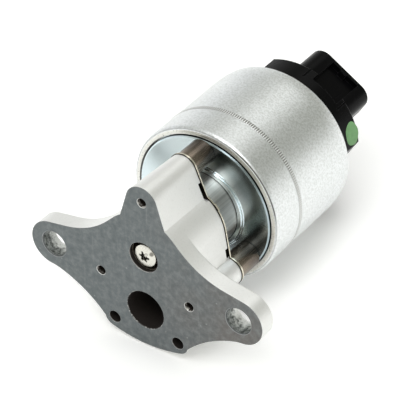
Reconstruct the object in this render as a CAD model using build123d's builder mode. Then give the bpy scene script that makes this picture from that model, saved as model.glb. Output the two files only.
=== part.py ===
from build123d import *
from math import asin, atan2, cos, degrees, hypot, radians, sin
import os

# EGR valve with a linear solenoid, lying on its side. All sizes are in millimetres.
#
# The valve axis is Y. The mounting face is at y = 0 and looks along -Y, and the solenoid, the cap
# and the connector follow towards +Y. X runs through the two ears and Z through the top screw boss.
# The origin is on the valve axis, in the mounting face. "Height" below means distance along +Y.

# ---------------------------------------------------------------- driving dimensions
# Mounting flange
flange_t = 6.4
bolt_spacing = 70.0
bolt_z = -9.5
bolt_hole_r = 4.5
ear_offset = 0.6              # the ear's arc is centred this far outside its bolt hole
ear_r = 8.1
waist_top = (20.5, 1.3)       # where the ear's upper edge and the line off the drum would meet
waist_top_r = 30.0
waist_ear = (36.8, -17.2)     # a hollow arc through these three points joins the ear to the toe
waist_middle = (24.65, -22.1)
waist_toe = (14.2, -31.3)
waist_ear_r = 12.0
waist_toe_r = 4.0
dowel_centre = (12.07, -28.6)
dowel_r = 2.2
dowel_depth = 5.0
toe_r = 3.8
flange_bottom_z = -34.2
flange_edge_r = 0.7
bolt_hole_chamfer = 0.35
gas_port_chamfer = 0.2

# Valve tower and its three screw bosses
drum_r = 15.5
tower_top = 21.8
boss_pitch_r = 20.6
lower_boss_angle = 54.15      # the two lower bosses, either side of -Z
boss_r_face = 5.8             # the casting draft takes the bosses down to boss_r_top
boss_r_top = 4.85
arm_root_r_face = 11.7        # the top arm is a web from this circle on the axis to its boss
arm_root_r_top = 13.0
neck_tip_r = 1.0              # the lower arms narrow towards this circle, and their bosses stand proud
vents = {                     # air slots under the gasket across the arms: inner and outer radius
    "top": (12.1, 17.8),
    "left": (15.2, 17.4),
    "right": (15.2, 17.4),
}
vent_h = 1.2
tap_r = 1.65
tap_chamfer = 0.15

# Gas way
valve_port_r = 5.4
seat_ring_r = 8.0
seat_start = 1.8
seat_end = 5.3
seat_orifice_r = 5.3
seat_bevel = 0.5
chamber_r = 8.4
guide_r = 9.2
guide_start = 13.0
gas_port_z = -20.7
gas_port_r = 6.9
gas_port_depth = 13.4
passage_r = 3.7
passage_y = 9.2
elbow_r = 10.0
elbow_top = 17.0
elbow_edge_r = 4.0

# Screws, sleeves, gasket and shield
screw_r = 2.0
screw_clear_r = 2.2
screw_end = 5.0
screw_head_r = 3.5
screw_head_h = 3.0
screw_drive_r = 1.5
screw_drive_depth = 1.6
gasket_t = 0.3
shield_t = 0.5
plate_margin = 0.2
plate_bore_r = 5.0
shield_ring_r = 4.9           # pressed ring around each screw hole
shield_ring_h = 0.25
nib_angle = 40.5              # small locating nib on the shield's edge
nib_w = 2.4
nib_reach = 0.5
sleeve_r = 4.45
sleeve_length = 10.0
sleeve_edge = 0.25

# Can and its bottom plate
can_r = 27.4
can_wall = 1.2
can_start = 33.3
can_top = 75.65
can_lip_inner_r = 25.05
can_lip_t = 1.2
can_foot_r = 1.3
can_shoulder_start = 69.6     # from here the wall curves in towards the crimped rim
can_shoulder_r = 26.7
can_top_r = 0.4
can_crimp_r = 25.7
knurl_y = 46.4
knurl_w = 1.1
knurl_depth = 0.15
bottom_face_r = 24.6
bottom_face_edge = 0.4
bottom_flange_t = 1.1
hub_r = 14.7
hub_h = 0.8
hub_step_r = 15.3             # a second, lower step round the hub
hub_step_h = 0.3
hub_edge = 0.25

# Solenoid
pole_r = 13.0
pole_start = 24.2
pole_edge = 0.4
pole_flange_r = 16.5
pole_flange_t = 1.6
pole_neck_r = 11.0
pole_neck_end = 51.0
pole_neck_taper_end = 46.0
pole_neck_tip_r = 9.4
pole_stem_clear_r = 3.0
bushing_r = 4.5
bushing_length = 5.0
sleeve_tube_outer_r = 8.6
sleeve_tube_inner_r = 8.28
sleeve_tube_start = 36.6
upper_collar_start = 66.0
upper_plug_start = 61.0
upper_flange_start = 71.5
upper_flange_end = 74.0
upper_flange_r = 26.0
upper_plug_cone_r = 7.4
spring_pocket_r = 5.4
spring_pocket_end = 67.0
bobbin_bore_r = 11.3
bobbin_tube_r = 12.6
bobbin_flange_r = 24.8
bobbin_flange_t = 1.5
bobbin_start = 39.2
bobbin_spigot_r = 14.0
coil_r = 23.5

# Pintle, armature and sensor plunger: the parts that move
lift = 4.5
stop_gap = 1.5                # left between the armature and the upper pole at full lift
running_gap = 0.05
pintle_tip_y = 1.1
pintle_tip_r = 4.15
pintle_dome_h = 0.8
pintle_edge_r = 0.35
pintle_drive_r = 1.25
pintle_drive_lobe_r = 0.45
pintle_drive_depth = 1.4
metering_r = 5.1
metering_end = 4.7
head_r = 6.0
head_end = 6.3
head_back_end = 8.0
stem_r = 2.4
armature_r = 8.2
armature_start = 38.0
armature_edge = 0.6
stem_top_r = 2.0
stem_end = 58.2
nut_h = 2.4
nut_r = 3.3
plunger_gap = 0.05
plunger_r = 1.6
plunger_bore_r = 2.2
carrier_start = 75.0
carrier_h = 2.5
carrier_w = 7.0
carrier_d = 6.0

# Springs
return_wire_r = 0.45
return_mean_r = 4.55
return_turns = 6
sensor_wire_r = 0.2
sensor_mean_r = 2.2
sensor_turns = 7
wire_sides = 8

# Seal, cap and connector
seal_r = 23.1
seal_section_r = 0.6
seal_groove_w = 1.4
cap_angle = 58.4              # the connector's outward direction, from +X towards +Z
cap_r = 24.1
cap_flat = 19.2               # half distance over the cap's two flats
cap_flange_r = 26.1
cap_flange_top_r = 25.55
cap_flange_t = 1.1
cap_flange_edge = 0.3
cap_top = 86.6
cap_wall = 2.1
cap_roof = 2.0
cap_edge_r = 0.9
shroud_half_w = 12.0
shroud_inner = 8.0
shroud_outer = 22.2
shroud_corner_r = 4.8
shroud_top = 97.5
shroud_wall = 1.6
socket_floor = 87.0
socket_depth_n = 8.0
socket_corner_r = 3.0
recess_centre = 0.65
recess_w = 11.1
recess_depth = 2.0
recess_start = 82.5
recess_end = 96.3             # a rim closes the recess at the open end
wall_groove_offset = 7.65
wall_groove_w = 0.7
wall_groove_depth = 0.8
wall_groove_start = 81.3
key_w = 2.8
key_h = 2.6
key_offset = 8.4
cavity_n = 17.0               # the hollow under the roof stops here, short of the recess
latch_w = 2.6
latch_start = 95.1
latch_ramp = 0.7
latch_h = 1.8
pin_count = 5
pin_pitch = 3.9
pin_w = 1.5
pin_t = 0.65
pin_start = 81.5
pin_end = 92.8
pin_point = 0.25
board_n = -4.6
board_t = 1.0
board_w = 11.0
board_start = 74.6
board_end = 84.0
wiper_t = 0.3
wiper_w = 1.2
wiper_gap = 0.15
coil_post_r = 0.75
coil_posts = {"left": (-4.8, -16.8), "right": (4.8, -16.8)}

# ---------------------------------------------------------------- worked-out places
waist_ear_x = bolt_spacing / 2 + ear_offset
lower_boss_x = boss_pitch_r * sin(radians(lower_boss_angle))
lower_boss_z = -boss_pitch_r * cos(radians(lower_boss_angle))
bosses = {
    "top": (0, boss_pitch_r),
    "left": (-lower_boss_x, lower_boss_z),
    "right": (lower_boss_x, lower_boss_z),
}
lower_places = ("left", "right")
# The bottom arc touches both toe arcs from outside and passes through flange_bottom_z on the axis.
toe_rise = dowel_centre[1] - flange_bottom_z
bottom_arc_r = (dowel_centre[0] ** 2 + toe_rise**2 - toe_r**2) / (2 * (toe_rise - toe_r))
bottom_arc_z = flange_bottom_z + bottom_arc_r
bottom_arc_span = degrees(atan2(dowel_centre[0], bottom_arc_z - dowel_centre[1]))
gasket_top = tower_top + gasket_t
shield_top = gasket_top + shield_t
bottom_face = shield_top + sleeve_length
bottom_lip = can_start + can_lip_t
bottom_inner = bottom_lip + bottom_flange_t
pole_flange_end = bottom_inner + pole_flange_t
can_inner_r = can_r - can_wall
armature_end = upper_plug_start - lift - stop_gap
coil_start = bobbin_start + bobbin_flange_t
coil_end = upper_flange_start - bobbin_flange_t
socket_inner = shroud_inner + shroud_wall
socket_middle = socket_inner + socket_depth_n / 2
shroud_depth = shroud_outer - shroud_inner
outward = (cos(radians(cap_angle)), 0, sin(radians(cap_angle)))
sideways = (sin(radians(cap_angle)), 0, -cos(radians(cap_angle)))
against = (-sideways[0], 0, -sideways[2])
RISE = -1                     # Plane.XZ looks along -Y, so what rises along +Y is extruded by RISE

os.makedirs("parts", exist_ok=True)


def across(height):
    """Plane across the valve axis, with its local axes along X and Z."""
    return Plane.XZ.offset(RISE * height)


def deck(height):
    """Plane across the valve axis, with its local axes along the connector's width and outward."""
    return Plane(origin=(0, height, 0), x_dir=sideways, z_dir=(0, RISE, 0))


def tangent_point(start, centre, radius, side):
    """Where the line from start touches a circle; side +1 or -1 picks one of the two."""
    dx, dz = start[0] - centre[0], start[1] - centre[1]
    reach = hypot(dx, dz)
    turn = atan2(dz, dx) + side * (radians(90) - asin(radius / reach))
    return (centre[0] + radius * cos(turn), centre[1] + radius * sin(turn))


def arm(centre, tip_r, root_r):
    """One arm of the tower: the hull of a screw boss and a circle on the valve axis."""
    with BuildSketch(mode=Mode.PRIVATE) as outline:
        with Locations(centre):
            Circle(tip_r)
        Circle(root_r)
        make_hull()
    return outline.sketch


def three_arms(margin):
    """Outline of the tower's top face with a margin all round, pierced for the three screws."""
    with BuildSketch(mode=Mode.PRIVATE) as outline:
        Circle(drum_r + margin)
        add(arm(bosses["top"], boss_r_top + margin, arm_root_r_top + margin))
        for place in lower_places:
            add(arm(bosses[place], neck_tip_r + margin, drum_r + margin))
        with Locations(*bosses.values()):
            Circle(boss_r_top + margin)
            Circle(screw_clear_r, mode=Mode.SUBTRACT)
        Circle(plate_bore_r, mode=Mode.SUBTRACT)
    return outline.sketch


def cap_plan(inset):
    """The cap's plan: a circle with two flats, drawn in by an inset."""
    with BuildSketch(mode=Mode.PRIVATE) as plan:
        Circle(cap_r - inset)
        Rectangle(2 * (cap_flat - inset), 2 * cap_r, mode=Mode.INTERSECT)
    return plan.sketch


def hexalobe(core_r, lobe_r):
    """Six-lobed drive recess: a core circle with a round lobe on it every 60 degrees."""
    with BuildSketch(mode=Mode.PRIVATE) as drive:
        Circle(core_r)
        with PolarLocations(core_r, 6):
            Circle(lobe_r)
    return drive.sketch


# ---------------------------------------------------------------- valve base
with BuildPart() as valve_base:
    # Flange: ears, waist and toes, one half drawn and mirrored.
    ear_centre = (waist_ear_x, bolt_z)
    with BuildSketch(Plane.XZ) as flange_outline:
        with BuildLine():
            upper_edge = Polyline(
                (0, 0),
                tangent_point(waist_top, (0, 0), drum_r, 1),
                waist_top,
                tangent_point(waist_top, ear_centre, ear_r, -1),
                ear_centre,
                waist_ear,
            )
            lower_edge = ThreePointArc(waist_ear, waist_middle, waist_toe)
            bottom_edge = CenterArc((0, bottom_arc_z), bottom_arc_r, -90, bottom_arc_span)
            Line(lower_edge @ 1, bottom_edge @ 1)
            Line(bottom_edge @ 0, upper_edge @ 0)
        make_face()
        with Locations(ear_centre):
            Circle(ear_r)
        with Locations(dowel_centre):
            Circle(toe_r)
        for corner, radius in (
            (waist_top, waist_top_r),
            (waist_ear, waist_ear_r),
            (waist_toe, waist_toe_r),
        ):
            fillet(flange_outline.vertices().sort_by_distance(corner)[0], radius)
        mirror(about=Plane.YZ)
    extrude(amount=RISE * flange_t)
    fillet(valve_base.edges().group_by(Axis.Y)[-1], flange_edge_r)

    # Gas elbow behind the flange, from the gas port to the valve chamber.
    with BuildSketch(Plane.XZ):
        with Locations((0, gas_port_z / 2)):
            SlotCenterToCenter(-gas_port_z, 2 * elbow_r, rotation=90)
    extrude(amount=RISE * elbow_top)
    fillet(valve_base.edges().group_by(Axis.Y)[-1], elbow_edge_r)

    # Tower: a drum with two necks, a drafted web up to the top boss, and three drafted bosses.
    with BuildSketch(Plane.XZ):
        Circle(drum_r)
        for place in lower_places:
            add(arm(bosses[place], neck_tip_r, drum_r))
    extrude(amount=RISE * tower_top)
    with BuildSketch(Plane.XZ):
        add(arm(bosses["top"], boss_r_face, arm_root_r_face))
    with BuildSketch(across(tower_top)):
        add(arm(bosses["top"], boss_r_top, arm_root_r_top))
    loft(ruled=True)
    for place in lower_places:
        with BuildSketch(Plane.XZ):
            with Locations(bosses[place]):
                Circle(boss_r_face)
        with BuildSketch(across(tower_top)):
            with Locations(bosses[place]):
                Circle(boss_r_top)
        loft(ruled=True)

    # Valve bore: port, seat pocket, chamber and the pocket of the stem guide.
    with BuildSketch(Plane.XY):
        with BuildLine():
            Polyline(
                (0, 0),
                (valve_port_r, 0),
                (valve_port_r, seat_start),
                (seat_ring_r, seat_start),
                (seat_ring_r, seat_end),
                (chamber_r, seat_end),
                (chamber_r, guide_start),
                (guide_r, guide_start),
                (guide_r, tower_top),
                (0, tower_top),
                close=True,
            )
        make_face()
    revolve(axis=Axis.Y, mode=Mode.SUBTRACT)

    # Gas port and the passage that joins it to the chamber.
    with BuildSketch(Plane.XZ):
        with Locations((0, gas_port_z)):
            Circle(gas_port_r)
    extrude(amount=RISE * gas_port_depth, mode=Mode.SUBTRACT)
    with BuildSketch(Plane.XY.offset(gas_port_z)):
        with Locations((0, passage_y)):
            Circle(passage_r)
    extrude(amount=-gas_port_z, mode=Mode.SUBTRACT)

    # Locating holes, bolt holes and tapped holes.
    with BuildSketch(Plane.XZ):
        with Locations(dowel_centre, (-dowel_centre[0], dowel_centre[1])):
            Circle(dowel_r)
    extrude(amount=RISE * dowel_depth, mode=Mode.SUBTRACT)
    with BuildSketch(Plane.XZ):
        with Locations((bolt_spacing / 2, bolt_z), (-bolt_spacing / 2, bolt_z)):
            Circle(bolt_hole_r)
    extrude(amount=RISE * flange_t, mode=Mode.SUBTRACT)
    with BuildSketch(Plane.XZ):
        with Locations(*bosses.values()):
            Circle(tap_r)
    extrude(amount=RISE * screw_end, mode=Mode.SUBTRACT)
    with BuildSketch(across(screw_end)):
        with Locations(*bosses.values()):
            Circle(screw_r)
    extrude(amount=RISE * (tower_top - screw_end), mode=Mode.SUBTRACT)
    face_edges = valve_base.edges().group_by(Axis.Y)[0].filter_by(GeomType.CIRCLE)
    for hole_r, chamfer_width in (
        (gas_port_r, gas_port_chamfer),
        (bolt_hole_r, bolt_hole_chamfer),
        (tap_r, tap_chamfer),
    ):
        chamfer(face_edges.filter_by(lambda edge: abs(edge.radius - hole_r) < 0.01), chamfer_width)

    # Air slots across the arms, just under the gasket.
    for place, (vent_inner_r, vent_outer_r) in vents.items():
        x, z = bosses[place]
        with BuildSketch(across(tower_top)):
            with Locations(Location((0, 0), degrees(atan2(z, x)))):
                with Locations(((vent_inner_r + vent_outer_r) / 2, 0)):
                    Rectangle(vent_outer_r - vent_inner_r, 2 * drum_r)
        extrude(amount=-RISE * vent_h, mode=Mode.SUBTRACT)
valve_base.part.label = "valve_base"
export_step(valve_base.part, "parts/valve_base.step")

# ---------------------------------------------------------------- valve seat and stem guide
with BuildPart() as valve_seat:
    with BuildSketch(Plane.XY):
        with BuildLine():
            Polyline(
                (seat_orifice_r, seat_start),
                (seat_ring_r, seat_start),
                (seat_ring_r, seat_end),
                (seat_orifice_r + seat_bevel, seat_end),
                (seat_orifice_r, seat_end - seat_bevel),
                close=True,
            )
        make_face()
    revolve(axis=Axis.Y)
valve_seat.part.label = "valve_seat"
export_step(valve_seat.part, "parts/valve_seat.step")

# A dished ring under the guide turns the exhaust gas away from the stem.
deflector_t = 0.6
deflector_bore_r = 3.2
deflector_dish = 0.5
deflector_rim_r = 6.8
with BuildPart() as deflector_ring:
    with BuildSketch(Plane.XY):
        with BuildLine():
            Polyline(
                (deflector_bore_r, guide_start - deflector_dish),
                (deflector_rim_r, guide_start),
                (guide_r, guide_start),
                (guide_r, guide_start + deflector_t),
                (deflector_rim_r, guide_start + deflector_t),
                (deflector_bore_r, guide_start + deflector_t - deflector_dish),
                close=True,
            )
        make_face()
    revolve(axis=Axis.Y)
deflector_ring.part.label = "deflector_ring"
export_step(deflector_ring.part, "parts/deflector_ring.step")

guide_skirt_r = 6.4
guide_skirt_h = 1.4
with BuildPart() as stem_guide:
    with BuildSketch(Plane.XY):
        with BuildLine():
            Polyline(
                (stem_r + running_gap, guide_start + deflector_t),
                (guide_r, guide_start + deflector_t),
                (guide_r, tower_top),
                (guide_skirt_r, tower_top),
                (guide_skirt_r - guide_skirt_h, tower_top - guide_skirt_h),
                (stem_r + running_gap, tower_top - guide_skirt_h),
                close=True,
            )
        make_face()
    revolve(axis=Axis.Y)
stem_guide.part.label = "stem_guide"
export_step(stem_guide.part, "parts/stem_guide.step")

# ---------------------------------------------------------------- gasket and heat shield
with BuildPart() as base_gasket:
    with BuildSketch(across(tower_top)):
        add(three_arms(plate_margin))
    extrude(amount=RISE * gasket_t)
base_gasket.part.label = "base_gasket"
export_step(base_gasket.part, "parts/base_gasket.step")

with BuildPart() as heat_shield:
    with BuildSketch(across(gasket_top)):
        add(three_arms(plate_margin))
        with Locations(Location((0, 0), nib_angle)):
            with Locations((drum_r + plate_margin, 0)):
                Rectangle(2 * nib_reach, nib_w)
    extrude(amount=RISE * shield_t)
    # Pressed rings under the sleeves.
    with BuildSketch(across(shield_top)):
        with Locations(*bosses.values()):
            Circle(shield_ring_r)
            Circle(sleeve_r, mode=Mode.SUBTRACT)
    extrude(amount=RISE * shield_ring_h)
heat_shield.part.label = "heat_shield"
export_step(heat_shield.part, "parts/heat_shield.step")

# ---------------------------------------------------------------- sleeves and long screws
for place, boss in bosses.items():
    with BuildPart() as spacer_sleeve:
        with BuildSketch(across(shield_top)):
            with Locations(boss):
                Circle(sleeve_r)
                Circle(screw_clear_r, mode=Mode.SUBTRACT)
        extrude(amount=RISE * sleeve_length)
        rims = spacer_sleeve.edges().filter_by(GeomType.CIRCLE)
        chamfer(rims.filter_by(lambda edge: edge.radius > screw_clear_r + sleeve_edge), sleeve_edge)
    spacer_sleeve.part.label = f"spacer_sleeve_{place}"
    export_step(spacer_sleeve.part, f"parts/spacer_sleeve_{place}.step")

    with BuildPart() as housing_screw:
        with BuildSketch(across(screw_end)):
            with Locations(boss):
                Circle(screw_r)
        extrude(amount=RISE * (bottom_inner - screw_end))
        with BuildSketch(across(bottom_inner)):
            with Locations(boss):
                Circle(screw_head_r)
        extrude(amount=RISE * screw_head_h)
        chamfer(housing_screw.edges().group_by(Axis.Y)[-1], sleeve_edge)
        with BuildSketch(across(bottom_inner + screw_head_h)):
            with Locations(boss):
                add(hexalobe(screw_drive_r, screw_drive_r / 3))
        extrude(amount=-RISE * screw_drive_depth, mode=Mode.SUBTRACT)
    housing_screw.part.label = f"housing_screw_{place}"
    export_step(housing_screw.part, f"parts/housing_screw_{place}.step")

# ---------------------------------------------------------------- can and bottom plate
with BuildPart() as can_bottom_plate:
    with BuildSketch(Plane.XY):
        with BuildLine():
            Polyline(
                (pole_r, bottom_face - hub_h),
                (hub_r, bottom_face - hub_h),
                (hub_r, bottom_face - hub_step_h),
                (hub_step_r, bottom_face - hub_step_h),
                (hub_step_r, bottom_face),
                (bottom_face_r, bottom_face),
                (bottom_face_r, bottom_lip),
                (can_inner_r, bottom_lip),
                (can_inner_r, bottom_inner),
                (pole_r, bottom_inner),
                close=True,
            )
        make_face()
    revolve(axis=Axis.Y)
    rims = can_bottom_plate.edges().filter_by(GeomType.CIRCLE)
    face_rims = rims.filter_by_position(Axis.Y, bottom_face, bottom_face)
    chamfer(face_rims.sort_by(SortBy.RADIUS)[-1], bottom_face_edge)
    chamfer(rims.group_by(Axis.Y)[0].sort_by(SortBy.RADIUS)[-1], hub_edge)
    step_rims = rims.filter_by_position(Axis.Y, bottom_face - hub_step_h, bottom_face - hub_step_h)
    chamfer(step_rims.sort_by(SortBy.RADIUS)[-1], hub_edge)
    with BuildSketch(across(bottom_face)):
        with Locations(*bosses.values()):
            Circle(screw_clear_r)
    extrude(amount=RISE * (bottom_inner - bottom_face), mode=Mode.SUBTRACT)
can_bottom_plate.part.label = "can_bottom_plate"
export_step(can_bottom_plate.part, "parts/can_bottom_plate.step")

with BuildPart() as solenoid_can:
    with BuildSketch(Plane.XY):
        with BuildLine():
            wall = Polyline(
                (can_lip_inner_r, can_start),
                (can_r, can_start),
                (can_r, knurl_y - knurl_w / 2),
                (can_r - knurl_depth, knurl_y - knurl_w / 2 + knurl_depth),
                (can_r - knurl_depth, knurl_y + knurl_w / 2 - knurl_depth),
                (can_r, knurl_y + knurl_w / 2),
                (can_r, can_shoulder_start),
            )
            shoulder = TangentArc(wall @ 1, (can_shoulder_r, can_top), tangent=(0, 1))
            Polyline(
                shoulder @ 1,
                (can_crimp_r, can_top),
                (can_inner_r, upper_flange_end + cap_flange_edge),
                (can_inner_r, bottom_lip),
                (can_lip_inner_r, bottom_lip),
                wall @ 0,
            )
        make_face()
    revolve(axis=Axis.Y)
    rims = solenoid_can.edges().filter_by(GeomType.CIRCLE)
    fillet(rims.group_by(Axis.Y)[0].sort_by(SortBy.RADIUS)[-1], can_foot_r)
    fillet(rims.group_by(Axis.Y)[-1].sort_by(SortBy.RADIUS)[-1], can_top_r)
solenoid_can.part.label = "solenoid_can"
export_step(solenoid_can.part, "parts/solenoid_can.step")

# ---------------------------------------------------------------- solenoid
with BuildPart() as lower_pole:
    with BuildSketch(Plane.XY):
        with BuildLine():
            Polyline(
                (bushing_r, pole_start),
                (pole_r - pole_edge, pole_start),
                (pole_r, pole_start + pole_edge),
                (pole_r, bottom_inner),
                (pole_flange_r, bottom_inner),
                (pole_flange_r, pole_flange_end),
                (pole_neck_r, pole_flange_end),
                (pole_neck_r, pole_neck_taper_end),
                (pole_neck_tip_r, pole_neck_end),
                (sleeve_tube_outer_r, pole_neck_end),
                (sleeve_tube_outer_r, sleeve_tube_start),
                (pole_stem_clear_r, sleeve_tube_start),
                (pole_stem_clear_r, pole_start + bushing_length),
                (bushing_r, pole_start + bushing_length),
                close=True,
            )
        make_face()
    revolve(axis=Axis.Y)
lower_pole.part.label = "lower_pole"
export_step(lower_pole.part, "parts/lower_pole.step")

with BuildPart() as pole_bushing:
    with BuildSketch(across(pole_start)):
        Circle(bushing_r)
        Circle(stem_r + running_gap, mode=Mode.SUBTRACT)
    extrude(amount=RISE * bushing_length)
pole_bushing.part.label = "pole_bushing"
export_step(pole_bushing.part, "parts/pole_bushing.step")

with BuildPart() as guide_sleeve:
    with BuildSketch(across(sleeve_tube_start)):
        Circle(sleeve_tube_outer_r)
        Circle(sleeve_tube_inner_r, mode=Mode.SUBTRACT)
    extrude(amount=RISE * (upper_collar_start - sleeve_tube_start))
guide_sleeve.part.label = "guide_sleeve"
export_step(guide_sleeve.part, "parts/guide_sleeve.step")

with BuildPart() as bobbin:
    with BuildSketch(Plane.XY):
        with BuildLine():
            Polyline(
                (bobbin_bore_r, pole_flange_end),
                (bobbin_spigot_r, pole_flange_end),
                (bobbin_spigot_r, bobbin_start),
                (bobbin_flange_r, bobbin_start),
                (bobbin_flange_r, coil_start),
                (bobbin_tube_r, coil_start),
                (bobbin_tube_r, coil_end),
                (bobbin_flange_r, coil_end),
                (bobbin_flange_r, upper_flange_start),
                (bobbin_bore_r, upper_flange_start),
                close=True,
            )
        make_face()
    revolve(axis=Axis.Y)
bobbin.part.label = "bobbin"
export_step(bobbin.part, "parts/bobbin.step")

with BuildPart() as coil_winding:
    with BuildSketch(across(coil_start)):
        Circle(coil_r)
        Circle(bobbin_tube_r, mode=Mode.SUBTRACT)
    extrude(amount=RISE * (coil_end - coil_start))
coil_winding.part.label = "coil_winding"
export_step(coil_winding.part, "parts/coil_winding.step")

with BuildPart() as upper_pole:
    with BuildSketch(Plane.XY):
        with BuildLine():
            Polyline(
                (plunger_bore_r, spring_pocket_end),
                (spring_pocket_r, spring_pocket_end),
                (spring_pocket_r, upper_plug_start + spring_pocket_r / 4),
                (upper_plug_cone_r, upper_plug_start),
                (sleeve_tube_inner_r, upper_plug_start),
                (sleeve_tube_inner_r, upper_collar_start),
                (pole_neck_r, upper_collar_start),
                (pole_neck_r, upper_flange_start),
                (upper_flange_r, upper_flange_start),
                (upper_flange_r, upper_flange_end),
                (seal_r + seal_groove_w / 2, upper_flange_end),
                (seal_r + seal_groove_w / 2, upper_flange_end - 2 * seal_section_r),
                (seal_r - seal_groove_w / 2, upper_flange_end - 2 * seal_section_r),
                (seal_r - seal_groove_w / 2, upper_flange_end),
                (plunger_bore_r, upper_flange_end),
                close=True,
            )
        make_face()
    revolve(axis=Axis.Y)
    # Holes for the two coil posts.
    with BuildSketch(deck(upper_flange_start)):
        with Locations(*coil_posts.values()):
            Circle(2 * coil_post_r)
    extrude(amount=RISE * (upper_flange_end - upper_flange_start), mode=Mode.SUBTRACT)
upper_pole.part.label = "upper_pole"
export_step(upper_pole.part, "parts/upper_pole.step")

# ---------------------------------------------------------------- springs
for name, wire_r, mean_r, turns, spring_start, spring_end in (
    ("return_spring", return_wire_r, return_mean_r, return_turns, armature_end, spring_pocket_end),
    ("sensor_spring", sensor_wire_r, sensor_mean_r, sensor_turns, carrier_start + carrier_h,
     cap_top - cap_roof),
):
    coil_height = spring_end - spring_start - 2 * wire_r
    with BuildPart() as spring:
        with BuildLine() as coil_line:
            Helix(coil_height / turns, coil_height, mean_r, (0, spring_start + wire_r, 0), (0, 1, 0))
        with BuildSketch(Plane(origin=coil_line.line @ 0, z_dir=coil_line.line % 0)):
            RegularPolygon(wire_r, wire_sides)
        sweep(path=coil_line.line, is_frenet=True)
    spring.part.label = name
    export_step(spring.part, f"parts/{name}.step")

# ---------------------------------------------------------------- pintle assembly
with BuildPart() as pintle:
    with BuildSketch(Plane.XY):
        with BuildLine():
            dome = ThreePointArc(
                (0, pintle_tip_y),
                (pintle_tip_r / 2, pintle_tip_y + pintle_dome_h / 4),
                (pintle_tip_r, pintle_tip_y + pintle_dome_h),
            )
            Polyline(
                dome @ 1,
                (pintle_tip_r, pintle_tip_y + pintle_dome_h + pintle_edge_r),
                (metering_r, metering_end),
                (head_r, metering_end + head_r - metering_r),
                (head_r, head_end),
                (stem_r, head_back_end),
                (stem_r, armature_start),
                (stem_top_r, armature_start),
                (stem_top_r, stem_end),
                (0, stem_end),
                dome @ 0,
            )
        make_face()
    revolve(axis=Axis.Y)
    with BuildSketch(across(pintle_tip_y)):
        add(hexalobe(pintle_drive_r, pintle_drive_lobe_r))
    extrude(amount=RISE * pintle_drive_depth, mode=Mode.SUBTRACT)
pintle.part.label = "pintle"
export_step(pintle.part, "parts/pintle.step")

with BuildPart() as armature:
    with BuildSketch(across(armature_start)):
        Circle(armature_r)
        Circle(stem_top_r, mode=Mode.SUBTRACT)
    extrude(amount=RISE * (armature_end - armature_start))
    rims = armature.edges().filter_by(GeomType.CIRCLE)
    chamfer(rims.filter_by(lambda edge: edge.radius > armature_r - armature_edge), armature_edge)
armature.part.label = "armature"
export_step(armature.part, "parts/armature.step")

with BuildPart() as armature_nut:
    with BuildSketch(across(armature_end)):
        RegularPolygon(nut_r, 6)
        Circle(stem_top_r, mode=Mode.SUBTRACT)
    extrude(amount=RISE * nut_h)
armature_nut.part.label = "armature_nut"
export_step(armature_nut.part, "parts/armature_nut.step")

# ---------------------------------------------------------------- position sensor
plunger_start = stem_end + plunger_gap
with BuildPart() as sensor_plunger:
    with BuildSketch(across(plunger_start)):
        Circle(plunger_r)
    extrude(amount=RISE * (carrier_start - plunger_start))
    chamfer(sensor_plunger.edges().group_by(Axis.Y)[0], plunger_r / 3)
    with BuildSketch(deck(carrier_start)):
        RectangleRounded(carrier_w, carrier_d, plunger_r / 2)
    extrude(amount=RISE * carrier_h)
sensor_plunger.part.label = "sensor_plunger"
export_step(sensor_plunger.part, "parts/sensor_plunger.step")

# Two sprung fingers on the carrier, standing just clear of the board.
board_face = board_n + board_t / 2
finger_reach = -carrier_d / 2 - board_face - wiper_gap
with BuildPart() as wiper_contact:
    with BuildSketch(deck(carrier_start)):
        with Locations((0, -carrier_d / 2 - wiper_t / 2)):
            Rectangle(carrier_w - wiper_w, wiper_t)
    extrude(amount=RISE * carrier_h)
    with BuildSketch(deck(carrier_start)):
        with GridLocations(carrier_w / 2, 0, 2, 1):
            with Locations((0, -carrier_d / 2 - finger_reach / 2)):
                Rectangle(wiper_w, finger_reach)
    extrude(amount=RISE * wiper_t)
wiper_contact.part.label = "wiper_contact"
export_step(wiper_contact.part, "parts/wiper_contact.step")

with BuildPart() as sensor_board:
    with BuildSketch(deck(board_start)):
        with Locations((0, board_n)):
            Rectangle(board_w, board_t)
    extrude(amount=RISE * (board_end - board_start))
sensor_board.part.label = "sensor_board"
export_step(sensor_board.part, "parts/sensor_board.step")

# ---------------------------------------------------------------- seal, cap and terminals
with BuildPart() as cap_seal:
    with BuildSketch(Plane.XY):
        with Locations((seal_r, upper_flange_end - seal_section_r)):
            RegularPolygon(seal_section_r, wire_sides, rotation=180 / wire_sides)
    revolve(axis=Axis.Y)
cap_seal.part.label = "cap_seal"
export_step(cap_seal.part, "parts/cap_seal.step")

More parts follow.
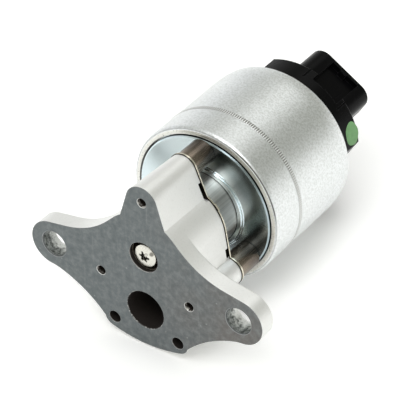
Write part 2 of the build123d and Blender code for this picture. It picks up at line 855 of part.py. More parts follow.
with BuildPart() as sensor_cap:
    # Crimped flange and the cap's walls.
    with BuildSketch(Plane.XY):
        with BuildLine():
            Polyline(
                (0, upper_flange_end),
                (cap_flange_r, upper_flange_end),
                (cap_flange_r, upper_flange_end + cap_flange_edge),
                (cap_flange_top_r, upper_flange_end + cap_flange_t),
                (0, upper_flange_end + cap_flange_t),
                close=True,
            )
        make_face()
    revolve(axis=Axis.Y)
    with BuildSketch(deck(upper_flange_end)):
        add(cap_plan(0))
    extrude(amount=RISE * (cap_top - upper_flange_end))
    fillet(sensor_cap.edges().group_by(Axis.Y)[-1], cap_edge_r)

    # Connector shroud with the recess for the plug's latch between its two lobes.
    shroud_middle = (shroud_inner + shroud_outer) / 2
    with BuildSketch(deck(wall_groove_start)):
        with Locations((0, shroud_middle)):
            RectangleRounded(2 * shroud_half_w, shroud_depth, shroud_corner_r)
    extrude(amount=RISE * (shroud_top - wall_groove_start))
    with BuildSketch(deck(recess_start)):
        with Locations((recess_centre, shroud_outer)):
            Rectangle(recess_w, 2 * recess_depth)
    extrude(amount=RISE * (recess_end - recess_start), mode=Mode.SUBTRACT)
    with BuildSketch(deck(wall_groove_start)):
        with GridLocations(2 * wall_groove_offset, 0, 2, 1):
            with Locations((0, cap_r - wall_groove_depth)):
                Rectangle(wall_groove_w, 2 * wall_groove_depth)
    extrude(amount=RISE * (cap_top - wall_groove_start), mode=Mode.SUBTRACT)

    # Latch nub under the rim, ramped on its inner side.
    latch_floor = shroud_outer - recess_depth
    with BuildSketch(Plane(origin=(0, 0, 0), x_dir=outward, z_dir=against).offset(-latch_w / 2)):
        with BuildLine():
            Polyline(
                (latch_floor, latch_start),
                (latch_floor + latch_h, latch_start + latch_ramp),
                (latch_floor + latch_h, recess_end),
                (latch_floor, recess_end),
                close=True,
            )
        make_face()
    extrude(amount=latch_w)

    # Socket with two keyways, and the hollow under the roof.
    with BuildSketch(deck(socket_floor)):
        with Locations((0, socket_middle)):
            RectangleRounded(2 * (shroud_half_w - shroud_wall), socket_depth_n, socket_corner_r)
        with Locations((0, socket_middle + socket_depth_n / 2)):
            with GridLocations(2 * key_offset, 0, 2, 1):
                Rectangle(key_w, 2 * key_h)
    extrude(amount=RISE * (shroud_top - socket_floor), mode=Mode.SUBTRACT)
    with BuildSketch(deck(upper_flange_end)):
        add(cap_plan(cap_wall))
        with Locations((0, (cavity_n - cap_r) / 2)):
            Rectangle(2 * cap_r, cavity_n + cap_r, mode=Mode.INTERSECT)
    extrude(amount=RISE * (cap_top - cap_roof - upper_flange_end), mode=Mode.SUBTRACT)

    # Slots that the terminals are moulded into.
    with BuildSketch(deck(pin_start)):
        with Locations((0, socket_middle)):
            with GridLocations(pin_pitch, 0, pin_count, 1):
                Rectangle(pin_w, pin_t)
    extrude(amount=RISE * (socket_floor - pin_start), mode=Mode.SUBTRACT)
sensor_cap.part.label = "sensor_cap"
export_step(sensor_cap.part, "parts/sensor_cap.step")

for index in range(pin_count):
    pin_x = (index - (pin_count - 1) / 2) * pin_pitch
    with BuildPart() as terminal_pin:
        with BuildSketch(deck(pin_start)):
            with Locations((pin_x, socket_middle)):
                Rectangle(pin_w, pin_t)
        extrude(amount=RISE * (pin_end - pin_start))
        chamfer(terminal_pin.edges().group_by(Axis.Y)[-1], pin_point)
    terminal_pin.part.label = f"terminal_pin_{index + 1}"
    export_step(terminal_pin.part, f"parts/terminal_pin_{index + 1}.step")

# Two posts carry the coil's current up through the upper pole into the cap.
for side, post in coil_posts.items():
    with BuildPart() as coil_terminal:
        with BuildSketch(deck(upper_flange_start)):
            with Locations(post):
                Circle(coil_post_r)
        extrude(amount=RISE * (pin_start - upper_flange_start))
    coil_terminal.part.label = f"coil_terminal_{side}"
    export_step(coil_terminal.part, f"parts/coil_terminal_{side}.step")
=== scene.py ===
from math import cos, pi, radians, sin

import bmesh
import bpy
import numpy as np
from mathutils import Matrix, Vector


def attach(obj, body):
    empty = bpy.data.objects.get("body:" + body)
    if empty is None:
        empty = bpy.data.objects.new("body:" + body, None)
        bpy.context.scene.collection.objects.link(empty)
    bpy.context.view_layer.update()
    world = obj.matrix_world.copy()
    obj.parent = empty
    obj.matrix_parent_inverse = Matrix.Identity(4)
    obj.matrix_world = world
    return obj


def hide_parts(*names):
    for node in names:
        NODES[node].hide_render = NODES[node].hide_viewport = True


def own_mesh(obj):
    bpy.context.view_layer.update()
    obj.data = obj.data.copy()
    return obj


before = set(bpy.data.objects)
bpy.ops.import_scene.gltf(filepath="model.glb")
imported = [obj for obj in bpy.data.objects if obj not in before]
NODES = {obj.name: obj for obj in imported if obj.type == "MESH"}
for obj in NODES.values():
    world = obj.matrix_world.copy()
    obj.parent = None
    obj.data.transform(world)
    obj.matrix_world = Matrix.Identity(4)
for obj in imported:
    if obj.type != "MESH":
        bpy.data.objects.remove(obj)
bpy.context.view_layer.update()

MM = 0.001
HOUSING = "housing"
PINTLE = "pintle_assembly"

# Camera: where it stands, its azimuth about Z, its elevation and its roll about the view. The
# lens and the sensor are in millimetres.
CAMERA_AT = (0.3707, -0.4908, 0.4734)
CAMERA_AZIMUTH = radians(35.416)
CAMERA_ELEVATION = radians(36.321)
CAMERA_ROLL = radians(-1.154)
CAMERA_LENS = 227.94
SENSOR = 36.0

# The valve lies on the flange's lower edge and on the can's shoulder: (y, z) of those two lines.
FLANGE_LOW = (5.8 * MM, -34.25 * MM)
CAN_LOW = (72.3 * MM, -27.3 * MM)
FLOOR_HALF = 3.0
VALVE_MIDDLE = (0.0, 0.05, 0.0)

# Holes in the mounting face: the place of each as (x, z), and the radius. The gas way runs up
# from the gas port and the valve's hole.
VALVE_AXIS = (0.0, 0.0)
VALVE_HOLE = 5.4 * MM
GAS_PORT = (0.0, -20.7 * MM)
GAS_HOLE = 6.9 * MM
EARS = ((-35.0 * MM, -9.5 * MM), (35.0 * MM, -9.5 * MM))
EAR_HOLE = 4.5 * MM
DOWELS = ((-12.07 * MM, -28.6 * MM), (12.07 * MM, -28.6 * MM))
DOWEL_HOLE = 2.2 * MM
BOSSES = {
    "top": (0.0, 20.6 * MM),
    "left": (-16.696 * MM, -12.065 * MM),
    "right": (16.696 * MM, -12.065 * MM),
}
TAP_HOLE = 1.65 * MM
GAS_WAY_TOP = 17.5 * MM

# Solenoid and cap: the can's foot and wall, its lip from bore to edge, its bottom plate, the pole
# in the plate's bore, and the cap's wall. The connector points from the axis at the cap's angle.
CAN_FOOT = 33.3 * MM
CAN_RADIUS = 27.4 * MM
LIP_BORE = 25.05 * MM
LIP_EDGE = 26.1 * MM
PLATE_EDGE = 24.6 * MM
POLE_RADIUS = 13.0 * MM
CAP_RADIUS = 24.1 * MM
CAP_ANGLE = radians(58.4)

# The domed end of the pintle: where its middle stands, its radius, how far its rim lies behind its
# middle, and the radius, the lobes and the depth of the drive in it.
BUTTON_FRONT = 0.10 * MM
BUTTON_RIM = 4.08 * MM
BUTTON_DOME = 0.90 * MM
DRIVE_RADIUS = 1.55 * MM
DRIVE_LOBE = 0.40 * MM
DRIVE_DEPTH = 1.10 * MM

# Sides of the can, as angles from +X towards +Z, where its lip and its bottom plate look different.
RIGHT_SIDE = radians(37.7)
UPPER_SIDE = radians(70.1)
LEFT_SIDE = radians(160.1)

# The clearance of a coil spring at its seats.
SEAT_GAP = 0.02 * MM


# ------------------------------------------------------------------ shader building
class Wire:
    """A number socket of a node tree: Python arithmetic on wires adds Math nodes."""

    def __init__(self, net, socket):
        self.net = net
        self.socket = socket

    def math(self, operation, *inputs):
        return self.net.node("ShaderNodeMath", {"operation": operation}, *inputs)

    def __add__(self, other):
        return self.math("ADD", self, other)

    __radd__ = __add__

    def __sub__(self, other):
        return self.math("SUBTRACT", self, other)

    def __rsub__(self, other):
        return self.math("SUBTRACT", other, self)

    def __mul__(self, other):
        return self.math("MULTIPLY", self, other)

    __rmul__ = __mul__

    def __pow__(self, other):
        return self.math("POWER", self, other)

    def __neg__(self):
        return self.math("SUBTRACT", 0.0, self)

    def __abs__(self):
        return self.math("ABSOLUTE", self)

    def at_least(self, other):
        return self.math("MAXIMUM", self, other)

    def at_most(self, other):
        return self.math("MINIMUM", self, other)

    def clipped(self):
        return self.at_least(0.0).at_most(1.0)


class Net:
    """A node tree that is built by wiring values together."""

    def __init__(self, tree):
        self.tree = tree

    def put(self, socket, value):
        """Links a wire to a socket, or sets the socket's own value."""
        if isinstance(value, Wire):
            self.tree.links.new(value.socket, socket)
        elif isinstance(value, tuple) and len(value) == 3 and socket.type == "RGBA":
            socket.default_value = (*value, 1.0)
        else:
            socket.default_value = value

    def node(self, kind, settings=None, *inputs, output=0, **named):
        """Adds one node: its settings first, then its sockets in order or by name."""
        made = self.tree.nodes.new(kind)
        for key, value in (settings or {}).items():
            setattr(made, key, value)
        for socket, value in zip(made.inputs, inputs):
            self.put(socket, value)
        for name, value in named.items():
            self.put(made.inputs[name.replace("_", " ")], value)
        return Wire(self, made.outputs[output]) if made.outputs else None

    def split(self, vector):
        """The three parts of a vector as number wires."""
        parts = self.node("ShaderNodeSeparateXYZ", None, vector)
        return [Wire(self, socket) for socket in parts.socket.node.outputs]

    def step(self, value, low, high):
        """0 below low, 1 above high, and a smooth rise between them."""
        return self.node("ShaderNodeMapRange", {"interpolation_type": "SMOOTHSTEP"}, Value=value,
                         From_Min=low, From_Max=high)

    def tint(self, mask, first, second):
        """Colour first where the mask is 0 and second where it is 1."""
        made = self.node("ShaderNodeMix", {"data_type": "RGBA"}, output=2)
        mixer = made.socket.node
        self.put(mixer.inputs[0], mask)
        self.put(mixer.inputs[6], first)
        self.put(mixer.inputs[7], second)
        return made


class Finish(Net):
    """A material, built by wiring values into its Principled shader."""

    def __init__(self, name, **fixed):
        self.material = bpy.data.materials.new(name)
        self.material.use_nodes = True
        super().__init__(self.material.node_tree)
        self.shader = self.tree.nodes["Principled BSDF"]
        self.drive(**fixed)
        self.at = self.node("ShaderNodeTexCoord", output="Object")
        self.x, self.y, self.z = self.split(self.at)

    def drive(self, **sockets):
        """Sets or wires sockets of the Principled shader, such as Base_Color or Roughness."""
        for name, value in sockets.items():
            self.put(self.shader.inputs[name.replace("_", " ")], value)

    def noise(self, scale, detail=2.0, rough=0.5, at=None):
        """Noise with about scale cells a metre."""
        return self.node("ShaderNodeTexNoise", None, output="Fac", Vector=at or self.at, Scale=scale,
                         Detail=detail, Roughness=rough)

    def spots(self, scale):
        """Distance from the nearest of many scattered points, about scale of them a metre."""
        return self.node("ShaderNodeTexVoronoi", None, output="Distance", Vector=self.at, Scale=scale)

    def stretched(self, x, y, z, turn=0.0):
        """Object coordinates turned about Y and scaled along each axis, for streaks and turning marks."""
        return self.node("ShaderNodeMapping", None, Vector=self.at, Rotation=(0.0, turn, 0.0),
                         Scale=(x, y, z))

    def away(self, x, z):
        """Distance from the line along Y through (x, z)."""
        return ((self.x - x) * (self.x - x) + (self.z - z) * (self.z - z)) ** 0.5

    def towards(self, angle):
        """Distance from the valve axis in one direction, at an angle from +X towards +Z."""
        return self.x * cos(angle) + self.z * sin(angle)

    def angle(self, at=VALVE_AXIS):
        """Angle about the line along Y through at, from +X towards +Z."""
        return self.node("ShaderNodeMath", {"operation": "ARCTAN2"}, self.z - at[1], self.x - at[0])

    def round_axis(self, around, along, at=VALVE_AXIS):
        """Coordinates (angle, y, distance from the axis): the angle scaled by around and the others
        by along, so that marks can run round a turned part."""
        return self.node("ShaderNodeCombineXYZ", None, self.angle(at) * around, self.y * along,
                         self.away(*at) * along)

    def inside(self, place, radius, near, far):
        """1 within a radius of the line along Y through a place, out to near, and 0 beyond far."""
        return 1.0 - self.step(self.away(*place), radius + near, radius + far)

    def edge(self, width):
        """1 on sharp edges, falling to 0 about width away from them."""
        rounded = self.node("ShaderNodeBevel", {"samples": 6}, width)
        flat = self.node("ShaderNodeNewGeometry", output="Normal")
        cosine = self.node("ShaderNodeVectorMath", {"operation": "DOT_PRODUCT"}, rounded, flat,
                           output="Value")
        return self.step(1.0 - cosine, 0.01, 0.12)

    def corner_shade(self, reach):
        """1 far into corners and gaps, falling to 0 where the surface is open for about reach: a mask for
        painted shade.
        """
        open_share = self.node("ShaderNodeAmbientOcclusion", {"samples": 8, "only_local": True}, output="AO",
                               Distance=reach)
        return 1.0 - self.step(open_share, 0.25, 0.85)

    def bump(self, height, depth, soft=None):
        """Turns a 0 to 1 height into relief of the given depth in metres; soft rounds the edges that wide."""
        inputs = {"Distance": depth, "Height": height}
        if soft:
            inputs["Normal"] = self.node("ShaderNodeBevel", {"samples": 6}, soft)
        self.drive(Normal=self.node("ShaderNodeBump", None, **inputs))


def dress(finish, *nodes):
    """Gives a finish to the object of each named CAD node."""
    for name in nodes:
        mesh = NODES[name].data
        mesh.materials.clear()
        mesh.materials.append(finish.material)


def shaded(colour, factor):
    """A colour made lighter or darker by a factor."""
    return tuple(min(1.0, channel * factor) for channel in colour)


# ------------------------------------------------------------------ finishes
# In each finish, f is the material that is being built, a mask is 0 to 1, and lengths are in metres.
def cast_side(f, grain, patches):
    """Cast sides: pale, with a faint grain, and painted shade that darkens the corners."""
    side = f.tint(patches, (0.88, 0.88, 0.865), (0.94, 0.94, 0.925))
    side = f.tint(f.step(grain, 0.5, 0.75) * 0.35, side, (0.74, 0.735, 0.715))
    # painted shade: corners and gaps within 1.6 mm are darkened
    return f.tint(f.corner_shade(1.6 * MM) * 0.8, side, (0.30, 0.29, 0.27))


def ground_face(f, blotch, patches, scuffs):
    """Ground face: dark blue-grey, browner towards +X, with clouds, scratches, pale nicks and pale edges,
    partly wear and partly a painted highlight.
    """
    brown = (f.step(f.x, -4.0 * MM, 30.0 * MM) * f.step(f.noise(28, 3), 0.35, 0.62)).clipped()
    nicks = 1.0 - f.step(f.spots(230), 0.04, 0.10)
    ground = f.tint(patches, (0.112, 0.129, 0.133), (0.168, 0.183, 0.187))
    ground = f.tint(brown * 0.8, ground, (0.155, 0.141, 0.130))
    ground = f.tint(f.step(blotch, 0.42, 0.70) * 0.5, ground, (0.245, 0.260, 0.262))
    ground = f.tint((1.0 - f.step(blotch, 0.30, 0.46)) * 0.4, ground, (0.090, 0.102, 0.106))
    ground = f.tint(scuffs, ground, (0.27, 0.285, 0.29))
    ground = f.tint(nicks * 0.45, ground, (0.36, 0.37, 0.37))
    # pale edges: partly wear and partly a painted highlight of the edges' rounding
    return f.tint(f.edge(0.3 * MM) * 0.7, ground, (0.34, 0.35, 0.35))


def ear_hole_wall(f, rough):
    """Wall of an ear's hole: rough and mottled, dark near the face, and painted light further in."""
    wall = f.tint(f.step(rough, 0.35, 0.65), (0.10, 0.11, 0.105), (0.48, 0.50, 0.49))
    # painted light: the wall is painted bright towards the hole's far end
    bright = f.step(f.y + (rough - 0.5) * (8.0 * MM), 2.2 * MM, 5.8 * MM)
    wall = f.tint(bright, wall, (0.90, 0.91, 0.89))
    rim = 1.0 - f.step(f.y, 0.30 * MM, 0.50 * MM)
    return f.tint(rim, wall, (0.15, 0.16, 0.165))


def painted_hole_shade(f):
    """Painted shade inside the casting: gas port, valve chamber, locating and tapped holes."""
    hole_shade = f.inside(GAS_PORT, GAS_HOLE, 0.12 * MM, 0.25 * MM)
    hole_shade = hole_shade.at_least(f.inside(VALVE_AXIS, VALVE_HOLE, 0.05 * MM, 5.1 * MM))
    holes = [(place, DOWEL_HOLE) for place in DOWELS] + [(place, TAP_HOLE) for place in BOSSES.values()]
    for place, radius in holes:
        hole_shade = hole_shade.at_least(f.inside(place, radius, 0.05 * MM, 0.2 * MM))
    behind_face = f.step(f.y, 0.05 * MM, 0.5 * MM)
    above_gas_way = f.step(f.y, GAS_WAY_TOP, GAS_WAY_TOP + 0.5 * MM)
    return hole_shade * behind_face * (1.0 - above_gas_way)


def casting():
    """Base casting: pale sides, a dark ground mounting face at y = 0, rough ear holes and painted shade in
    its ways.
    """
    f = Finish("cast_aluminium")
    grain = f.noise(1700, 3, 0.65)
    blotch = f.noise(420, 4, 0.7)
    patches = f.noise(70, 4, 0.6)
    rough = f.noise(750, 4, 0.65)
    lines = f.noise(900, 4, 0.7, f.stretched(1.0, 1.0, 0.04, radians(12)))
    marks = f.noise(600, 3, 0.6, f.stretched(0.05, 1.0, 1.0, radians(-33)))
    scuffs = (f.step(lines, 0.56, 0.80) * 0.5 + f.step(marks, 0.62, 0.85) * 0.45).clipped()
    face = 1.0 - f.step(f.y, 0.02 * MM, 0.06 * MM)
    ears = 0.0
    for place in EARS:
        ears = f.inside(place, EAR_HOLE, 0.15 * MM, 0.45 * MM).at_least(ears)
    hole_shade = painted_hole_shade(f)
    # the gas port's mouth, just behind the ground face, is dotted dark and pale
    mouth = f.inside(GAS_PORT, GAS_HOLE, 0.5 * MM, 0.7 * MM) * (1.0 - face)
    dotted = f.tint(f.step(f.noise(1500, 3, 0.7), 0.50, 0.62), (0.10, 0.10, 0.10), (0.70, 0.70, 0.67))
    colour = f.tint(mouth, cast_side(f, grain, patches), dotted)
    colour = f.tint(face, colour, ground_face(f, blotch, patches, scuffs))
    colour = f.tint(ears, colour, ear_hole_wall(f, rough))
    # painted shade: the holes and the gas way are painted near-black
    colour = f.tint(hole_shade, colour, (0.030, 0.024, 0.021))
    f.drive(Base_Color=colour, Metallic=(0.7 + face * 0.3 - hole_shade * 0.4).clipped())
    f.drive(Roughness=0.42 + grain * 0.12 + face * (scuffs * 0.1 + patches * 0.16 - 0.20) + hole_shade * 0.2)
    relief = grain * (1.0 - face) + (scuffs * 0.3 + blotch * 0.6) * face + ears * rough * 8.0
    f.bump(relief, 0.05 * MM, 0.2 * MM)
    return f


def turned(name, colour, roughness, at=VALVE_AXIS, soft=0.1 * MM):
    """Turned steel: fine marks that run round an axis along Y, with a slight change of shade."""
    f = Finish(name, Metallic=1.0)
    marks = f.noise(1.0, 2, 0.6, f.round_axis(3.0, 9000.0, at))
    cloud = f.noise(140, 3)
    f.drive(Base_Color=f.tint(cloud, shaded(colour, 0.92), shaded(colour, 1.1)))
    f.drive(Roughness=roughness - 0.06 + marks * 0.14)
    f.bump(marks, 0.004 * MM, soft)
    return f


def pintle_head():
    """Nickel-bright head in the port, with painted shade as a dark ring where it seats and in the drive."""
    f = Finish("pintle_steel", Metallic=1.0)
    cloud = f.noise(500, 3, 0.6)
    reach = f.away(*VALVE_AXIS)
    # painted shade in the drive
    deep_shade = f.step(f.y, 1.25 * MM, 1.9 * MM) * (1.0 - f.step(reach, 1.75 * MM, 1.85 * MM))
    # painted shade: a dark ring where the head sits in the valve hole
    seat = f.step(reach, 4.0 * MM, 4.1 * MM)
    colour = f.tint(cloud, (0.68, 0.665, 0.60), (0.80, 0.785, 0.72))
    colour = f.tint(seat, colour, (0.085, 0.068, 0.052))
    colour = f.tint(deep_shade, colour, (0.10, 0.09, 0.08))
    f.drive(Base_Color=colour, Roughness=0.24 + cloud * 0.14 + seat * 0.15 + deep_shade * 0.2)
    f.bump(cloud, 0.03 * MM, 0.15 * MM)
    return f


def button_steel():
    """Nickel-bright end of the pintle: faint cast marks, painted shade on the walls of the drive and round
    the edge, and a painted dark reflection beside the drive."""
    f = Finish("button_steel", Metallic=1.0)
    cloud = f.noise(520, 3, 0.6)
    reach = f.away(*VALVE_AXIS)
    # how far a point lies behind the dome, which falls away with the square of the way out
    sunk = f.y - reach * reach * (BUTTON_DOME / BUTTON_RIM**2)
    bottom = f.step(sunk, BUTTON_FRONT + DRIVE_DEPTH - 0.15 * MM, BUTTON_FRONT + DRIVE_DEPTH - 0.02 * MM)
    middle = f.inside(VALVE_AXIS, DRIVE_RADIUS, -1.0 * MM, -0.55 * MM) * bottom
    # painted shade on the drive's walls, less on its floor
    walls = f.step(sunk, BUTTON_FRONT + 0.20 * MM, BUTTON_FRONT + 0.40 * MM) * (1.0 - middle * 0.8)
    drive = f.inside(VALVE_AXIS, DRIVE_RADIUS + DRIVE_LOBE, 0.10 * MM, 0.20 * MM)
    # painted reflection: a dark patch beside the drive
    drive_side_reflection = 1.0 - f.step(f.away(2.7 * MM, 1.8 * MM) + cloud * (0.5 * MM), 0.65 * MM, 1.25 * MM)
    # painted shade round the edge, where the button meets the valve hole
    edge = f.step(reach, 3.85 * MM, 4.05 * MM)
    colour = f.tint(cloud, (0.66, 0.645, 0.58), (0.80, 0.785, 0.72))
    colour = f.tint(walls * drive, colour, (0.05, 0.045, 0.04))
    colour = f.tint(drive_side_reflection * 0.8, colour, (0.12, 0.11, 0.09))
    colour = f.tint(edge * 0.8, colour, (0.10, 0.08, 0.06))
    f.drive(Base_Color=colour, Roughness=0.20 + cloud * 0.16)
    f.bump(cloud, 0.04 * MM, 0.15 * MM)
    return f


def cut_thread():
    """Cut thread: bright at the mouth of the hole, and dark further in, as painted shade."""
    f = Finish("cut_thread", Metallic=1.0)
    cloud = f.noise(1100, 3)
    colour = f.tint(f.step(cloud, 0.50, 0.62), (0.06, 0.055, 0.05), (0.66, 0.64, 0.60))
    # painted shade: dark further into the hole
    deep_shade = f.step(f.y + cloud * (0.5 * MM), 0.85 * MM, 1.5 * MM)
    f.drive(Base_Color=f.tint(deep_shade, colour, (0.022, 0.018, 0.015)))
    f.drive(Roughness=0.26 + cloud * 0.16 + deep_shade * 0.2)
    f.bump(cloud, 0.01 * MM)
    return f


def tinted_sleeves():
    """Tinted sleeves: tan at the shield, dark brown towards the can, streaked lengthways."""
    f = Finish("tinted_steel", Metallic=1.0)
    cloud = f.noise(220, 3)
    streaks = f.noise(1.0, 3, 0.6, f.stretched(2200.0, 120.0, 2200.0))
    can_end = f.step(f.y + cloud * (3.0 * MM), 24.0 * MM, 32.0 * MM)
    colour = f.tint(can_end, (0.27, 0.225, 0.18), (0.115, 0.098, 0.084))
    colour = f.tint(f.step(streaks, 0.45, 0.7) * 0.5, colour, (0.16, 0.13, 0.105))
    f.drive(Base_Color=colour, Roughness=0.20 + streaks * 0.12)
    f.bump(streaks, 0.004 * MM, 0.2 * MM)
    return f


def rolled_lip(f, zinc, foot, lip):
    """The can's rolled lip laid over the zinc: cream, with stained rings on its upper side, with
    painted shade, black, behind it and a painted shadow on its left. A dark line, strongest on its
    right, parts it from the can's rounded edge."""
    reach = f.away(*VALVE_AXIS)
    rings = f.noise(1.0, 2, 0.6, f.round_axis(3.0, 5200.0))
    ringed = f.tint(f.step(rings, 0.40, 0.60), (0.40, 0.39, 0.34), (0.74, 0.73, 0.66))
    stained = f.step(f.towards(UPPER_SIDE), 17.0 * MM, 24.0 * MM)
    colour = f.tint(lip, zinc, f.tint(stained, (0.96, 0.95, 0.90), ringed))
    # painted shade: the gap behind the lip is painted black
    behind = f.step(f.y, CAN_FOOT + 0.15 * MM, CAN_FOOT + 0.25 * MM)
    behind = behind * f.inside(VALVE_AXIS, LIP_BORE, 0.15 * MM, 0.35 * MM)
    colour = f.tint(behind, colour, (0.03, 0.03, 0.03))
    # painted shadow on the lip's left side
    shadow = foot * f.inside(VALVE_AXIS, LIP_BORE, 0.20 * MM, 0.40 * MM)
    shadow = shadow * f.step(f.towards(LEFT_SIDE), 20.0 * MM, 24.0 * MM)
    colour = f.tint(shadow * 0.9, colour, (0.04, 0.04, 0.04))
    line = f.step(reach, LIP_EDGE + 0.50 * MM, LIP_EDGE + 0.62 * MM)
    line = foot * line * f.inside(VALVE_AXIS, LIP_EDGE, 0.85 * MM, 1.00 * MM)
    right = f.step(f.towards(RIGHT_SIDE), 22.5 * MM, 25.0 * MM)
    return f.tint(line * (0.35 + 0.65 * right), colour, (0.06, 0.055, 0.05))


def zinc_plate():
    """Zinc plate on drawn steel: bright and satin, with a fine sparkle and faint drawn streaks. Its
    foot ends in the rolled lip, which is smoother and less of a metal."""
    f = Finish("zinc_plate")
    sparkle = f.noise(1500, 2, 0.7)
    cells = f.noise(3200, 2, 0.6)
    drawn = f.noise(1.0, 3, 0.6, f.round_axis(40.0, 60.0))
    foot = 1.0 - f.step(f.y, CAN_FOOT + 0.2 * MM, CAN_FOOT + 0.5 * MM)
    lip = foot * f.inside(VALVE_AXIS, LIP_EDGE, 0.2 * MM, 0.4 * MM)
    zinc = f.tint(f.noise(60, 3), (0.85, 0.87, 0.88), (0.92, 0.94, 0.945))
    zinc = f.tint((1.0 - f.step(sparkle, 0.36, 0.62)) * 0.7, zinc, (0.65, 0.67, 0.66))
    zinc = f.tint(f.step(drawn, 0.62, 0.8) * 0.3, zinc, (0.72, 0.73, 0.72))
    f.drive(Base_Color=rolled_lip(f, zinc, foot, lip), Metallic=1.0 - lip * 0.5)
    f.drive(Roughness=0.30 + sparkle * 0.12 + cells * 0.06 - lip * 0.1)
    f.bump(sparkle + cells * 0.4, 0.08 * MM, 0.15 * MM)
    return f


def knurled_zinc():
    """The knurled band: zinc on the teeth, and painted shade between them."""
    f = Finish("knurled_zinc", Metallic=1.0)
    tooth = f.step(f.away(*VALVE_AXIS), CAN_RADIUS + 0.015 * MM, CAN_RADIUS + 0.06 * MM)
    cloud = f.noise(500, 3)
    # painted shade: the roots between the teeth are painted dark
    f.drive(Base_Color=f.tint(tooth, (0.26, 0.26, 0.25), (0.93, 0.94, 0.935)))
    f.drive(Roughness=0.30 + cloud * 0.14)
    f.bump(cloud, 0.01 * MM)
    return f


def zinc_mirror():
    """The can's bottom plate: smooth blue-grey zinc with a painted dark reflection in one zone and
    two painted dark reflections of the sleeves, and painted shade, black, in the gaps at its bore
    and at its rim, weaker on the right."""
    f = Finish("zinc_mirror", Metallic=1.0)
    cloud = f.noise(110, 3)
    faint = f.noise(1.0, 2, 0.6, f.round_axis(4.0, 2500.0))
    reach = f.away(*VALVE_AXIS)
    right = f.step(f.towards(RIGHT_SIDE), 12.0 * MM, 20.0 * MM)
    # painted shade: the gaps at the rim and the bore are painted black, the rim's less on the right
    rim_gap_shade = f.step(reach, PLATE_EDGE + 0.05 * MM, PLATE_EDGE + 0.15 * MM) * (1.0 - right * 0.8)
    bore_gap_shade = f.inside(VALVE_AXIS, POLE_RADIUS, 0.2 * MM, 0.32 * MM)
    # painted reflection: a darker zone on the right
    dark_reflection_zone = f.step(reach + cloud * (2.0 * MM), 16.0 * MM, 20.5 * MM) * f.step(f.x, 2.0 * MM, 9.0 * MM)
    colour = f.tint(cloud, (0.70, 0.80, 0.84), (0.78, 0.87, 0.90))
    colour = f.tint(dark_reflection_zone, colour, (0.40, 0.48, 0.51))
    for x, z in ((5.0, 21.0), (19.0, -2.5)):
        # painted reflection of each sleeve: a dark patch beside it
        sleeve_reflection = 1.0 - f.step(f.away(x * MM, z * MM) + cloud * (2.0 * MM), 2.5 * MM, 7.0 * MM)
        colour = f.tint(sleeve_reflection * 0.7, colour, (0.10, 0.135, 0.15))
    f.drive(Base_Color=f.tint(rim_gap_shade + bore_gap_shade, colour, (0.015, 0.015, 0.015)))
    f.drive(Roughness=0.15 + cloud * 0.07 + faint * 0.04)
    f.bump(faint, 0.002 * MM, 0.12 * MM)
    return f


def drawn_pole():
    """Pole pieces and armature: grey steel with streaks along the valve axis, and a painted reflection of
    five broad bands round it, paler and darker as a cosine of the angle."""
    f = Finish("drawn_pole_steel", Metallic=1.0)
    streaks = f.noise(1.0, 3, 0.65, f.round_axis(26.0, 30.0))
    # painted reflection: five paler and darker bands round the pole
    band = 0.5 + 0.5 * f.node("ShaderNodeMath", {"operation": "COSINE"}, f.angle() * 5.0 - radians(340))
    shade = band * 0.6 + f.step(streaks, 0.3, 0.7) * 0.4
    f.drive(Base_Color=f.tint(shade, (0.38, 0.37, 0.355), (0.80, 0.785, 0.75)))
    f.drive(Roughness=0.36 + streaks * 0.16)
    f.bump(streaks, 0.006 * MM, 0.1 * MM)
    return f


def moulded(name, colour, roughness, gloss=0.3, pale_edges=True):
    """Moulded plastic or rubber: a faint texture and slightly uneven gloss, and, if asked, edges made a
    paler grey, partly by wear and partly as a painted highlight."""
    f = Finish(name, Specular_IOR_Level=gloss)
    texture = f.noise(2200, 3)
    cloud = f.noise(90, 3)
    colour = f.tint(cloud, colour, shaded(colour, 1.6))
    if pale_edges:
        # paler edges: partly wear and partly a painted highlight
        edge_wear_and_highlight = f.edge(0.25 * MM) * f.step(texture, 0.3, 0.6)
        colour = f.tint(edge_wear_and_highlight * 0.8, colour, (0.028, 0.028, 0.031))
    f.drive(Base_Color=colour, Roughness=roughness - 0.08 + cloud * 0.16)
    f.bump(texture, 0.008 * MM, 0.15 * MM)
    return f


def copper_winding():
    """Layers of enamelled wire, wound along the valve axis."""
    f = Finish("copper_winding", Metallic=1.0)
    wave = f.node("ShaderNodeTexWave", {"bands_direction": "Y"}, Vector=f.at, Scale=700.0, Distortion=0.4)
    f.drive(Base_Color=f.tint(wave, (0.42, 0.16, 0.07), (0.74, 0.36, 0.18)))
    f.drive(Roughness=0.42 - wave * 0.14)
    f.bump(wave, 0.2 * MM)
    return f


def track_board():
    """Ceramic board with two dark resistive tracks along the plunger's travel."""
    f = Finish("track_board")
    across = abs(f.towards(CAP_ANGLE - radians(90)))
    track = f.step(across, 1.8 * MM, 2.0 * MM) * (1.0 - f.step(across, 4.2 * MM, 4.4 * MM))
    f.drive(Base_Color=f.tint(track, (0.55, 0.53, 0.48), (0.03, 0.03, 0.035)))
    f.drive(Roughness=0.5 - track * 0.15 + f.noise(900, 2) * 0.1)
    return f


def green_paint():
    """Dabbed paint: thin and a little patchy."""
    f = Finish("green_paint")
    green = (0.187, 0.405, 0.165)
    cloud = f.noise(700, 3)
    f.drive(Base_Color=f.tint(cloud, shaded(green, 0.75), shaded(green, 1.25)))
    f.drive(Roughness=0.42 + cloud * 0.16)
    f.bump(cloud, 0.03 * MM)
    return f


